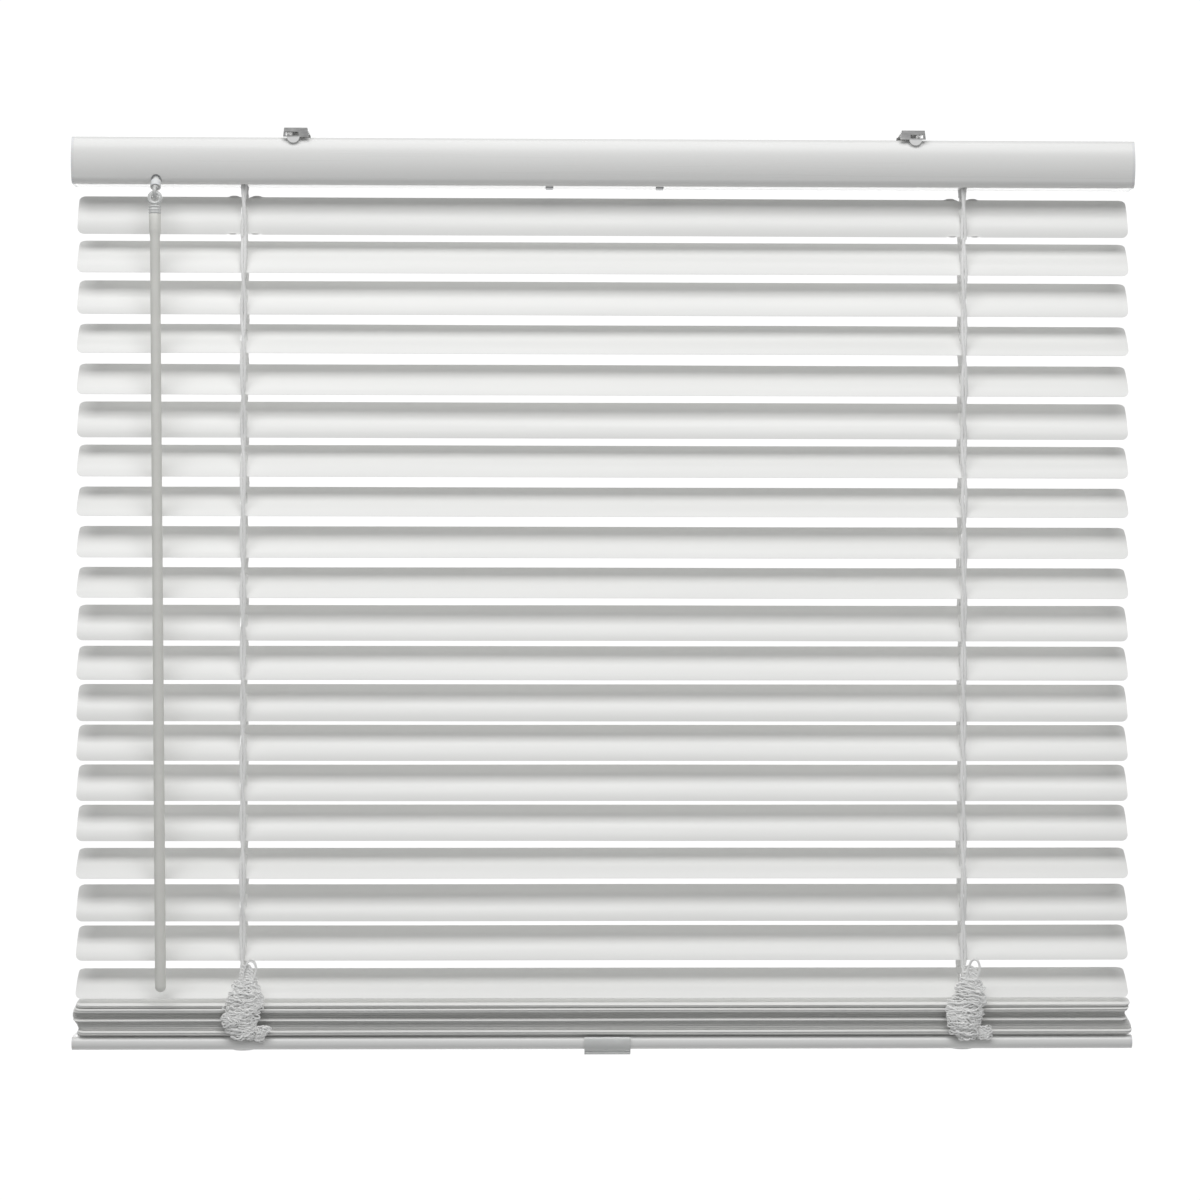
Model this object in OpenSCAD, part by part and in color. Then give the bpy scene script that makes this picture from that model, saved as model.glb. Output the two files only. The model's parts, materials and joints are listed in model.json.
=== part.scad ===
// Cordless venetian blind with 25 mm slats, partly raised.
// X runs along the slats, -Y faces the room and +Z is up. The origin is on the ceiling plane,
// halfway between the two ceiling screws. All lengths are in millimetres.

/* [Headrail] */
// Overall length of the headrail, over its end caps
rail_len = 600; // [590:1:700]
// Depth of the headrail from front to back
rail_depth = 26; // [25:0.5:32]
// Height of the headrail
rail_height = 26.5; // [26:0.5:32]
// Gap between the ceiling and the top of the headrail, filled by the brackets
rail_drop = 5; // [4:0.5:6]
// Thickness of the headrail's sheet
rail_wall = 0.8; // [0.6:0.1:1.0]
// Radius of the headrail's bulging front and back faces
rail_bulge_r = 28; // [24:1:60]
// Thickness of each headrail end cap's plate
cap_plate = 1.5; // [1:0.1:2]

/* [Brackets] */
// Distance between the two ceiling screws
screw_spacing = 348; // [300:1:380]
// Radius of each ceiling screw hole
screw_hole_r = 2.2; // [1.8:0.1:2.6]
// Width of a bracket's front plate at the rail
bracket_w = 14.3; // [12:0.1:18]
// Thickness of the brackets' steel
bracket_t = 1.2; // [0.8:0.1:1.5]

/* [Slats] */
// Length of a slat
slat_len = 595; // [585:1:595]
// Width of a slat
slat_w = 25; // [24:0.5:25]
// Thickness of a slat
slat_t = 0.25; // [0.2:0.05:0.3]
// Radius of a slat's corners
slat_corner_r = 3.5; // [2:0.5:6]
// Radius of the arch across a slat
slat_arch_r = 36; // [34:1:60]
// Tilt of the slats as they hang, front edge down
slat_tilt = 50; // [40:1:52]
// Height of the first slat's pivot line below the ceiling
first_slat_drop = 50.4; // [48:0.1:52]
// Distance from one hanging slat to the next
slat_pitch = 22.6; // [22:0.05:22.6]
// Length across the slat of each cord slot
slot_len = 11; // [10:0.5:14]
// Width along the slat of each cord slot
slot_w = 5; // [4.8:0.1:6]

/* [Ladders and cords] */
// Distance from the middle of the blind to each ladder
ladder_x = 203.7; // [190:0.1:210]
// Radius of the ladder cords
ladder_cord_r = 0.55; // [0.4:0.05:0.6]
// Radius of the lift cords
lift_cord_r = 0.45; // [0.4:0.05:0.6]
// Radius of the cross rungs between the ladder cords
rung_r = 0.35; // [0.25:0.05:0.4]

/* [Stack and bottom rail] */
// Number of slats resting on the bottom rail
stack_count = 33; // [20:1:33]
// Distance from one resting slat to the next
stack_pitch = 0.5; // [0.45:0.05:0.5]
// Height of the bottom rail's top below the ceiling
bottom_rail_drop = 511.2; // [511:0.1:540]
// Height of the bottom rail
bottom_rail_h = 7.6; // [7:0.1:9]
// Depth of the bottom rail
bottom_rail_depth = 25.4; // [25:0.1:27]
// Width of the clear pull handle
handle_w = 26; // [20:1:40]
// Distance of the pull handle to the right of the middle
handle_x = 2; // [0:0.5:20]

/* [Tilt wand] */
// Distance from the middle of the blind to the wand, on the left
wand_x = 252.5; // [245:0.5:260]
// Distance that the wand hangs in front of the slats' pivot line
wand_front = 16.5; // [16.5:0.1:18]
// Height of the wand's link below the ceiling
link_drop = 38.5; // [38:0.1:39]
// Height of the wand's swing pin below the ceiling
pin_drop = 47; // [46.5:0.1:48]
// Height of the wand's tip below the ceiling
wand_tip_drop = 485.5; // [300:0.5:500]
// Radius of the wand just below its head
wand_top_r = 2.8; // [2.5:0.1:2.9]
// Radius of the wand at its tip
wand_tip_r = 3.1; // [2.6:0.1:3.2]
// Sideways lean of the wand as it hangs
wand_lean = 0.5; // [0:0.1:1]

/* [Tilt gear] */
// Angle of the worm's axis from vertical
worm_slant = 35; // [34:1:36]
// Number of teeth on the tilt gear, which is also the gear ratio
gear_teeth = 12; // [12:1:12]
// Pitch radius of the tilt gear
gear_pitch_r = 4.9; // [4.8:0.1:5]
// Radius of the tilt rod
rod_r = 2; // [1.8:0.1:2.2]
// Distance of the tilt rod behind the slats' pivot line
rod_back = 3; // [2.9:0.1:3.1]
// Height of the tilt rod below the ceiling
rod_drop = 23.5; // [23.4:0.1:23.6]

/* [Lift motor] */
// Half the length of the spring motor's case
motor_half_len = 36; // [34:1:42]
// Outer radius of the lift spool's flanges
spool_flange_r = 8.2; // [8:0.1:8.6]
// Radius that the lift cords wind on
spool_wind_r = 6.9; // [6.5:0.1:7.2]

/* [Hidden] */
hanging_slats = 20;

// Smoothness of round features
$fn = 48;
// Overlap that keeps a cut or a joined shape from ending exactly on a face
over = 0.1;
// Radial running clearance of a shaft in its bearing, and of a wheel that is fixed on its shaft
run_gap = 0.08;
fixed_gap = 0.02;
// Gap between the headrail's sheet and what is pushed into it
seat_gap = 0.05;

// Heights, all measured up from the ceiling
rail_top_z = -rail_drop;
rail_bottom_z = rail_top_z - rail_height;
rail_mid_z = (rail_top_z + rail_bottom_z) / 2;
rail_floor_z = rail_bottom_z + rail_wall;
rod_z = -rod_drop;
bottom_rail_z = -bottom_rail_drop;
stack_base_z = bottom_rail_z + 0.2 + slat_t / 2;
cord_run_z = -16;

// Corner radii of the headrail's section
rail_low_r = 5;
rail_high_r = 3;
rail_mouth_half_w = 7;

// The arch of a slat: how far its crest stands above its edges, and above its pivot line
slat_sag = slat_arch_r - sqrt(pow(slat_arch_r, 2) - pow(slat_w / 2, 2));
slat_crest = slat_sag / 3;
slat_edge = slat_sag - slat_crest;
stack_top_z = stack_base_z + (stack_count - 1) * stack_pitch + slat_sag;

// Where the ladder cords hang, just clear of the slats' edges, and where they enter the headrail
cord_gap = 0.45;
front_entry_y = -5;
back_entry_y = 6.6;
// The window in the headrail's floor that the ladder cords and the lift cord run through
window_r = 1.8;
window_front_y = -5.8;
window_back_y = 6.2;

// The worm's axis runs from the link, up and back into the headrail
link_pos = [-wand_x, -wand_front, -link_drop];
worm_dir = [0, sin(worm_slant), cos(worm_slant)];
rod_from_link = [0, rod_back + wand_front, rod_z + link_drop];
worm_mid = rod_from_link * worm_dir;
gear_distance = norm(rod_from_link - worm_mid * worm_dir);
worm_pitch_r = gear_distance - gear_pitch_r;
tooth_pitch = 2 * PI * gear_pitch_r / gear_teeth;
tooth_out = 0.7;
tooth_in = 1;
stem_r = 1.6;
journal_r = stem_r - 0.4;
// Half the length of the worm's chamber in the tilter housing, and the thickness of the housing's walls
worm_half_len = 6;
housing_wall = 1.2;
// Turns the gear so that a gap faces the worm's thread
tooth_phase = 180 - worm_slant + 0.75 * 360 / gear_teeth;

// The link between the worm's eye and the wand's hook: two wire rings, one through the other
wire_r = 0.75;
ring_r = 3;
ring_offset = 1.15;
pin_r = 0.9;
hook_tab_t = 1.8;

// The ladder drums sit outboard of their ladders
drum_in = 2.5;
drum_w = 9;

// The spring motor's case, its feet, and the post and spool inside it
motor_case_y = 10.4;
motor_top_z = -9;
motor_foot_x = 31.3;
motor_foot_w = 4;
motor_foot_len = 8;
spool_floor_z = -20.4;
spool_h = 9.6;
spool_post_r = 1.4;
spool_hollow_r = 5.6;

// The bottom rail's sheet and its end caps
bottom_wall = 0.7;
bottom_cap_t = 1.2;
bottom_rail_len = rail_len - 2;
cord_hole_r = 2;
plug_r = 3.9;

function two_digits(k) = k < 10 ? str("0", k) : str(k);
function slat_name(k) = str("slat_", two_digits(k));
function rungs_name(k) = str("ladder_rungs_", two_digits(k));
function slat_z(k) = -first_slat_drop - (k - 1) * slat_pitch;
// The front (-1) or back (1) edge of a hanging slat, measured from its pivot line
function edge_y(side) = side * slat_w / 2 * cos(slat_tilt) + slat_edge * sin(slat_tilt);
function edge_z(side) = side * slat_w / 2 * sin(slat_tilt) - slat_edge * cos(slat_tilt);
// The resting slats have slid a little sideways, in a gentle S up the stack
function stack_slide(i) = -1.7 * sin(360 * (i / (stack_count - 1) - 0.42));

// ---- Shared shapes ----

// Extrudes a (y, z) outline along X, centred
module along_x(len) {
    translate([-len / 2, 0, 0]) rotate([90, 0, 90]) linear_extrude(len) children();
}

// Extrudes an (x, z) outline along Y from the front face at y
module along_y(y, len) {
    translate([0, y + len, 0]) rotate([90, 0, 0]) linear_extrude(len) children();
}

// A round bar along X, centred
module x_bar(r, len) {
    rotate([0, 90, 0]) cylinder(r = r, h = len, center = true);
}

// A straight round cord between two points
module cord(from, to, r) {
    run = to - from;
    translate(from) rotate([0, acos(run.z / norm(run)), atan2(run.y, run.x)])
        cylinder(r = r, h = norm(run), $fn = 16);
}

// Puts its children on both ladders
module at_ladders() {
    for (side = [-1, 1]) translate([side * ladder_x, 0, 0]) children();
}

// A window with round ends that reaches across the headrail's floor, cut upward from z
module cord_window(z, h) {
    translate([-window_r, window_front_y, z]) cube([2 * window_r, window_back_y - window_front_y, h]);
    for (y = [window_front_y, window_back_y]) translate([0, y, z]) cylinder(r = window_r, h = h);
}

// Stands its children on the worm's axis, with the link at the origin
module on_worm_axis() {
    translate(link_pos) rotate([-worm_slant, 0, 0]) children();
}

// ---- Headrail ----

// One half of the headrail's bulging section, on the front or back, shrunk by an inset
module rail_half_section(side, inset) {
    big_r = rail_bulge_r - inset;
    big_y = rail_depth / 2 - rail_bulge_r;
    half_h = rail_height / 2 - inset;
    low_r = rail_low_r - inset;
    high_r = rail_high_r - inset;
    low_v = -half_h + low_r;
    high_v = half_h - high_r;
    low_u = big_y + sqrt(pow(big_r - low_r, 2) - pow(low_v, 2));
    high_u = big_y + sqrt(pow(big_r - high_r, 2) - pow(high_v, 2));
    mirror([side < 0 ? 1 : 0, 0]) {
        intersection() {
            translate([big_y, 0]) circle(r = big_r, $fn = 180);
            translate([0, low_v * big_r / (big_r - low_r)])
                square([rail_depth, (high_v / (big_r - high_r) - low_v / (big_r - low_r)) * big_r]);
        }
        translate([low_u, low_v]) circle(r = low_r);
        translate([high_u, high_v]) circle(r = high_r);
        translate([0, -half_h]) square([low_u, half_h]);
        square([high_u, half_h]);
    }
}

module rail_section(inset) {
    translate([0, rail_mid_z]) {
        rail_half_section(1, inset);
        rail_half_section(-1, inset);
    }
}

module headrail() {
    floor_cut_z = rail_bottom_z - over;
    floor_cut_h = rail_wall + 2 * over;
    color("white") difference() {
        along_x(rail_len - 2 * cap_plate) difference() {
            rail_section(0);
            rail_section(rail_wall);
            translate([-rail_mouth_half_w, rail_mid_z]) square([2 * rail_mouth_half_w, rail_height]);
        }
        at_ladders() cord_window(floor_cut_z, floor_cut_h);
        // The tilter's mouth, in the curved lower front
        on_worm_axis() translate([0, 0, 5]) cylinder(r = stem_r + 1.5, h = 9.5);
        // Slots for the feet of the spring motor
        for (side = [-1, 1])
            translate([side * motor_foot_x, 0, rail_floor_z - rail_wall / 2])
                cube([motor_foot_w + 0.4, motor_foot_len + 0.4, floor_cut_h], center = true);
    }
}

module headrail_end_caps() {
    collar_len = 6;
    collar_t = 1;
    fit_gap = 0.1;
    color("white") for (side = [-1, 1]) {
        translate([side * (rail_len - cap_plate) / 2, 0, 0]) along_x(cap_plate) rail_section(0);
        translate([side * (rail_len / 2 - cap_plate - collar_len / 2 + over / 2), 0, 0])
            along_x(collar_len + over) difference() {
                rail_section(rail_wall + fit_gap);
                rail_section(rail_wall + fit_gap + collar_t);
            }
    }
}

// A sheet steel bracket: a top plate on the ceiling, legs over the front and back of the rail
// that end in rounded tongues, and feet that hook under the rail's lips
module bracket() {
    leg_y = 12.7;
    tongue_r = 3.6;
    tongue_x = -1.5;
    tongue_end_z = rail_top_z - 3.4;
    top_w = bracket_w - 1.2;
    window_w = 7.2;
    window_h = 2;
    foot_w = 5;
    foot_t = 1;
    foot_len = 3.5;
    foot_drop = 2.2;
    foot_y = rail_mouth_half_w - 2;
    difference() {
        translate([-top_w / 2, -leg_y, -bracket_t]) cube([top_w, 2 * leg_y, bracket_t]);
        translate([0, 0, -bracket_t - over]) cylinder(r = screw_hole_r, h = bracket_t + 2 * over);
    }
    for (side = [-1, 1]) {
        along_y(side * (leg_y - bracket_t / 2) - bracket_t / 2, bracket_t) {
            difference() {
                polygon([[-top_w / 2, 0], [-bracket_w / 2, rail_top_z],
                         [bracket_w / 2, rail_top_z], [top_w / 2, 0]]);
                translate([-bracket_w / 2 + 1.4, rail_top_z + 0.6]) square([window_w, window_h]);
            }
            intersection() {
                translate([tongue_x, tongue_end_z + tongue_r]) circle(r = tongue_r);
                translate([tongue_x - tongue_r, tongue_end_z])
                    square([2 * tongue_r, rail_top_z - tongue_end_z + over]);
            }
        }
        translate([-foot_w / 2, side * foot_y - foot_t / 2, rail_top_z - foot_drop])
            cube([foot_w, foot_t, foot_drop + rail_drop - bracket_t + over]);
        translate([0, side * (foot_y + (foot_len - foot_t) / 2), rail_top_z - foot_drop + foot_t / 2])
            cube([foot_w, foot_len, foot_t], center = true);
    }
}

module ceiling_brackets() {
    color("dimgray") for (side = [-1, 1])
        translate([side * screw_spacing / 2, 0, 0]) mirror([side > 0 ? 1 : 0, 0, 0]) bracket();
}

// ---- Tilt drive ----

module tilter_housing() {
    half_x = 9;
    top_gap = 7;
    gear_gap = 0.5;
    color("gainsboro") difference() {
        intersection() {
            translate([-wand_x, 0, 0]) along_x(2 * half_x) rail_section(rail_wall + seat_gap);
            translate([-wand_x - half_x - over, -rail_depth, rail_bottom_z])
                cube([2 * half_x + 2 * over, 2 * rail_depth, rail_height - top_gap]);
        }
        // Bearing of the tilt rod, and the chamber of the gear
        translate([-wand_x, rod_back, rod_z]) x_bar(rod_r + run_gap, 3 * half_x);
        translate([-wand_x, rod_back, rod_z])
            x_bar(gear_pitch_r + tooth_out + gear_gap, 2 * (half_x - housing_wall));
        // Chamber of the worm, its lower bearing and its upper bearing
        on_worm_axis() {
            translate([0, 0, worm_mid - worm_half_len])
                cylinder(r = worm_pitch_r + tooth_out + gear_gap, h = 2 * worm_half_len);
            cylinder(r = stem_r + run_gap, h = worm_mid);
            translate([0, 0, worm_mid]) cylinder(r = journal_r + run_gap, h = worm_half_len + 3);
        }
    }
}

// The worm's thread: a single start that climbs one tooth pitch a turn
module worm_thread(turns) {
    steps = 24;
    root_r = worm_pitch_r - tooth_in - 0.05;
    tip_r = worm_pitch_r + tooth_out;
    root_half = tooth_pitch * 0.2;
    tip_half = tooth_pitch * 0.09;
    count = turns * steps;
    rings = [for (i = [0:count])
        let (a = i * 360 / steps, z = (i / steps - turns / 2) * tooth_pitch)
        each [[root_r * cos(a), root_r * sin(a), z - root_half],
              [tip_r * cos(a), tip_r * sin(a), z - tip_half],
              [tip_r * cos(a), tip_r * sin(a), z + tip_half],
              [root_r * cos(a), root_r * sin(a), z + root_half]]];
    sides = [for (i = [0:count - 1]) for (j = [0:3])
        let (p = 4 * i + j, q = 4 * i + (j + 1) % 4)
        each [[p, q, q + 4], [p, q + 4, p + 4]]];
    ends = [[3, 2, 1, 0], [for (j = [0:3]) 4 * count + j]];
    polyhedron(rings, concat(sides, ends));
}

module tilt_worm() {
    eye_mid = ring_r - ring_offset;
    core_r = worm_pitch_r - tooth_in;
    color("whitesmoke") on_worm_axis() {
        // Eye, whose lower wire carries the hook
        translate([0, 0, eye_mid]) rotate([0, 90, 0])
            rotate_extrude() translate([ring_r, 0]) circle(r = wire_r, $fn = 24);
        // Stem, core and upper journal
        translate([0, 0, eye_mid + ring_r - wire_r / 2])
            cylinder(r = stem_r, h = worm_mid - worm_half_len - eye_mid - ring_r);
        translate([0, 0, worm_mid - worm_half_len - 1]) cylinder(r = core_r, h = 2 * worm_half_len + 0.7);
        translate([0, 0, worm_mid + worm_half_len - 1]) cylinder(r = journal_r, h = 3);
        translate([0, 0, worm_mid]) worm_thread(3);
    }
}

module tilt_gear() {
    gear_w = 3.2;
    root_r = gear_pitch_r - tooth_in;
    tip_r = gear_pitch_r + tooth_out;
    tooth_half = tooth_pitch * 0.2;
    color("white") translate([-wand_x, rod_back, rod_z]) along_x(gear_w) difference() {
        union() {
            circle(r = root_r);
            for (i = [0:gear_teeth - 1]) rotate(tooth_phase + i * 360 / gear_teeth)
                polygon([[root_r - 0.4, -tooth_half * 1.3], [gear_pitch_r, -tooth_half],
                         [tip_r, -tooth_half * 0.5], [tip_r, tooth_half * 0.5],
                         [gear_pitch_r, tooth_half], [root_r - 0.4, tooth_half * 1.3]]);
        }
        circle(r = rod_r + fixed_gap);
    }
}

module tilt_rod() {
    rod_end_left = -wand_x - 14;
    rod_end_right = ladder_x + 20;
    color("silver") translate([(rod_end_left + rod_end_right) / 2, rod_back, rod_z])
        x_bar(rod_r, rod_end_right - rod_end_left);
}

module ladder_drums() {
    drum_r = 4.2;
    flange_r = 5;
    flange_t = 1;
    color("white") for (side = [-1, 1])
        translate([side * (ladder_x + drum_in + drum_w / 2), rod_back, rod_z]) difference() {
            union() {
                x_bar(drum_r, drum_w);
                for (end = [-1, 1]) translate([end * (drum_w - flange_t) / 2, 0, 0])
                    x_bar(flange_r, flange_t);
            }
            x_bar(rod_r + fixed_gap, drum_w + 2 * over);
        }
}

module ladder_cradles() {
    base_in = -10;
    base_out = 16;
    wall = 1.2;
    cheek_in = -8;
    cheek_out = drum_in + drum_w + 0.6;
    cheek_y = 8;
    cheek_top_z = rod_z + 6;
    arm_len = 6;
    post_r = 1.2;
    base_z = rail_floor_z + seat_gap;
    color("gainsboro") for (side = [-1, 1]) translate([side * ladder_x, 0, 0])
        mirror([side < 0 ? 1 : 0, 0, 0]) difference() {
            union() {
                intersection() {
                    along_x(3 * base_out) rail_section(rail_wall + seat_gap);
                    translate([base_in, -rail_depth, base_z - over])
                        cube([base_out - base_in, 2 * rail_depth, wall + over]);
                }
                for (x = [cheek_in, cheek_out]) translate([x, -cheek_y, base_z + wall / 2])
                    cube([wall, 2 * cheek_y, cheek_top_z - base_z - wall / 2]);
                // Post that guides the lift cord round into the rail, on two arms
                translate([cheek_in + arm_len - 0.6, 0, cord_run_z - 2]) rotate([90, 0, 0])
                    cylinder(r = post_r, h = 2 * cheek_y, center = true);
                for (y = [-cheek_y, cheek_y - wall]) translate([cheek_in, y, base_z + wall / 2])
                    cube([arm_len, wall, cord_run_z - base_z - wall / 2]);
            }
            translate([0, rod_back, rod_z]) x_bar(rod_r + run_gap, 4 * base_out);
            cord_window(base_z - over, wall + 2 * over);
            translate([cheek_in - 1, 0, cord_run_z]) rotate([0, 90, 0])
                cylinder(r = 2 * lift_cord_r + 0.2, h = wall + 2);
        }
}

// ---- Wand ----

module wand_hook() {
    ring_mid_z = -link_drop + ring_offset - ring_r;
    tab_top_z = ring_mid_z - ring_r;
    tab_half_w = 1.5;
    tab_eye_r = 1.9;
    color("aliceblue") translate([-wand_x, -wand_front, 0]) {
        translate([0, 0, ring_mid_z]) rotate([90, 0, 0])
            rotate_extrude() translate([ring_r, 0]) circle(r = wire_r, $fn = 24);
        // Tab that hangs from the ring down to the swing pin
        difference() {
            union() {
                translate([-tab_half_w, -hook_tab_t / 2, -pin_drop])
                    cube([2 * tab_half_w, hook_tab_t, tab_top_z + pin_drop]);
                translate([0, 0, -pin_drop]) rotate([90, 0, 0])
                    cylinder(r = tab_eye_r, h = hook_tab_t, center = true);
            }
            translate([0, 0, -pin_drop]) rotate([90, 0, 0])
                cylinder(r = pin_r + run_gap, h = hook_tab_t + 2 * over, center = true);
        }
    }
}

module tilt_wand() {
    head_r = 3.3;
    head_len = 12;
    neck_len = 3;
    slot_gap = 0.35;
    slot_deep = 3;
    head_top = 2.6;
    length = wand_tip_drop - pin_drop - wand_tip_r;
    color("lightgray") translate([-wand_x, -wand_front, -pin_drop]) rotate([0, -wand_lean, 0]) {
        difference() {
            union() {
                translate([0, 0, -head_len]) cylinder(r = head_r, h = head_len + head_top);
                translate([0, 0, -head_len - neck_len])
                    cylinder(r1 = wand_top_r, r2 = head_r, h = neck_len);
            }
            translate([-head_r - over, -hook_tab_t / 2 - slot_gap, -slot_deep])
                cube([2 * (head_r + over), hook_tab_t + 2 * slot_gap, slot_deep + head_top + over]);
        }
        rotate([90, 0, 0]) cylinder(r = pin_r, h = 2 * head_r - 1, center = true);
        translate([0, 0, -length])
            cylinder(r1 = wand_tip_r, r2 = wand_top_r, h = length - head_len - neck_len + over);
        translate([0, 0, -length]) sphere(r = wand_tip_r);
    }
}

// ---- Lift drive ----

module spring_motor_case() {
    wall = 1.6;
    pocket_x = 22;
    pocket_w = 15;
    pocket_h = motor_top_z - spool_floor_z + over;
    chamber_r = spool_flange_r + 0.6;
    cord_way_w = 2 * spool_wind_r + 4;
    cord_way_h = 5;
    foot_drop = 0.8;
    color("whitesmoke") difference() {
        union() {
            intersection() {
                along_x(2 * motor_half_len) rail_section(rail_wall + seat_gap);
                translate([-motor_half_len - over, -motor_case_y, rail_bottom_z])
                    cube([2 * (motor_half_len + over), 2 * motor_case_y, motor_top_z - rail_bottom_z]);
            }
            for (side = [-1, 1])
                translate([side * motor_foot_x, 0, rail_bottom_z + rail_wall - foot_drop / 2])
                    cube([motor_foot_w, motor_foot_len, foot_drop + 2 * rail_wall], center = true);
        }
        translate([0, 0, spool_floor_z]) cylinder(r = chamber_r, h = pocket_h);
        for (side = [-1, 1]) {
            translate([side * pocket_x - pocket_w / 2, wall - motor_case_y, spool_floor_z])
                cube([pocket_w, 2 * (motor_case_y - wall), pocket_h]);
            translate([side * motor_half_len, 0, cord_run_z])
                cube([2 * motor_half_len, cord_way_w, cord_way_h], center = true);
        }
        translate([0, rod_back, rod_z]) x_bar(rod_r + 0.6, 3 * motor_half_len);
    }
    color("whitesmoke") translate([0, 0, spool_floor_z - over])
        cylinder(r = spool_post_r, h = motor_top_z - spool_floor_z - 0.5);
}

module lift_spool() {
    spool_z = spool_floor_z + 0.4;
    floor_t = 1;
    flange_t = 1;
    groove_h = 3.3;
    color("white") translate([0, 0, spool_z]) difference() {
        union() {
            cylinder(r = spool_wind_r - lift_cord_r, h = spool_h);
            for (i = [0:2]) translate([0, 0, i * (groove_h + flange_t)])
                cylinder(r = spool_flange_r, h = flange_t);
        }
        translate([0, 0, floor_t]) cylinder(r = spool_hollow_r, h = spool_h);
        translate([0, 0, -over]) cylinder(r = spool_post_r + run_gap, h = spool_h);
    }
}

// A clock spring wound round the post, inside the spool
module lift_spring() {
    turns = 5;
    strip_t = 0.2;
    first_r = spool_post_r + 0.3;
    last_r = spool_hollow_r - 0.4;
    strip_w = 6;
    step_angle = 15;
    steps = 360 / step_angle * turns;
    function coil_r(i) = first_r + (last_r - first_r) * i / steps;
    function coil_point(i, r) = r * [cos(i * step_angle), sin(i * step_angle)];
    outer = [for (i = [0:steps]) coil_point(i, coil_r(i))];
    inner = [for (i = [steps:-1:0]) coil_point(i, coil_r(i) - strip_t)];
    color("slategray") translate([0, 0, spool_floor_z + 2])
        linear_extrude(strip_w) polygon(concat(outer, inner));
}

module lift_cords() {
    end_z = bottom_rail_z - bottom_rail_h / 2;
    spool_side = 12;
    color("white") for (side = [-1, 1]) {
        top = [side * ladder_x, 0, cord_run_z];
        cord([top.x, 0, end_z], top, lift_cord_r);
        translate(top) sphere(r = lift_cord_r, $fn = 16);
        cord(top, [side * spool_side, side * (spool_wind_r + 1.2), cord_run_z], lift_cord_r);
    }
}

// ---- Slats and ladders ----

module slat_outline() {
    half_l = slat_len / 2 - slat_corner_r;
    half_w = slat_w / 2 - slat_corner_r;
    square([slat_len, 2 * half_w], center = true);
    square([2 * half_l, slat_w], center = true);
    for (x = [-half_l, half_l]) for (y = [-half_w, half_w])
        translate([x, y]) circle(r = slat_corner_r);
}

// The slot that a lift cord runs through
module cord_slot() {
    half = (slot_len - slot_w) / 2;
    square([slot_w, 2 * half], center = true);
    for (end = [-1, 1]) translate([0, end * half]) circle(r = slot_w / 2);
}

// A flat-lying arched slat with its pivot line at the origin
module slat_blank() {
    reach = 4;
    intersection() {
        difference() {
            translate([0, 0, slat_crest - slat_arch_r])
                x_bar(slat_arch_r + slat_t / 2, slat_len + 2, $fn = 180);
            translate([0, 0, slat_crest - slat_arch_r])
                x_bar(slat_arch_r - slat_t / 2, slat_len + 4, $fn = 180);
        }
        translate([0, 0, -reach]) linear_extrude(2 * reach) difference() {
            slat_outline();
            at_ladders() cord_slot();
        }
    }
}

module slat(k) {
    notch_r = 1.5;
    color("white") translate([0, 0, slat_z(k)]) rotate([slat_tilt, 0, 0]) difference() {
        slat_blank();
        // The first slat is notched where the ladder cords grip it
        if (k == 1) at_ladders() for (end = [-1, 1]) translate([0, end * slat_w / 2, -4])
            cylinder(r = notch_r, h = 8);
    }
}

// The rungs that carry one slat, one on each ladder, beside the ladder cords
module ladder_rungs(k) {
    beside = 1.3;
    under = slat_edge + slat_t / 2 + rung_r + 0.35;
    color("white") translate([0, 0, slat_z(k)]) rotate([slat_tilt, 0, 0]) at_ladders()
        cord([beside, -slat_w / 2, -under], [beside, slat_w / 2, -under], rung_r);
}

// The front or back cords of both ladders, from inside the headrail to the stack
module ladder_cords(side) {
    // How far up inside the headrail the cords show, and how their straight lengths overlap
    cord_inside_z = -13;
    joint_lap = 0.2;
    joint_step = 0.02;
    hang_y = edge_y(side) + side * (cord_gap + ladder_cord_r);
    grip_z = slat_z(1) + edge_z(side);
    entry_y = side < 0 ? front_entry_y : back_entry_y;
    color("white") at_ladders() {
        cord([0, hang_y, stack_top_z + 0.8], [0, hang_y, grip_z + joint_lap], ladder_cord_r);
        cord([0, hang_y, grip_z], [0, entry_y, rail_floor_z], ladder_cord_r + joint_step);
        cord([0, entry_y, rail_floor_z - joint_lap], [0, entry_y, cord_inside_z], ladder_cord_r);
    }
}

module front_ladder_cords() { ladder_cords(-1); }
module back_ladder_cords() { ladder_cords(1); }

// The slats that rest on the bottom rail, parted by the ladders' rungs
module stacked_slats() {
    color("white") for (i = [0:stack_count - 1])
        translate([stack_slide(i), 0, stack_base_z + slat_edge + i * stack_pitch]) slat_blank();
}

// The slack ladder cord and rungs that gather in front of and behind the stack
module cord_bunches() {
    near_y = slat_w / 2 + 0.5;
    bulge = 7;
    low_z = bottom_rail_z - bottom_rail_h / 2;
    high_z = stack_top_z;
    color("white") at_ladders() for (side = [-1, 1]) hull() {
        for (x = [-11, 11]) translate([x, side * (near_y + bulge / 2), low_z + 6])
            scale([1, 1, 1.6]) sphere(r = bulge / 2, $fn = 20);
        translate([0, side * (near_y + 2), high_z - 2]) sphere(r = 2, $fn = 20);
    }
}

// ---- Bottom rail ----

// The bottom rail's section with round front and back, shrunk or grown by an inset
module bottom_section(inset) {
    r = bottom_rail_h / 2 - inset;
    half = bottom_rail_depth / 2 - bottom_rail_h / 2;
    translate([0, bottom_rail_z - bottom_rail_h / 2]) {
        square([2 * half, 2 * r], center = true);
        for (end = [-1, 1]) translate([end * half, 0]) circle(r = r);
    }
}

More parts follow.
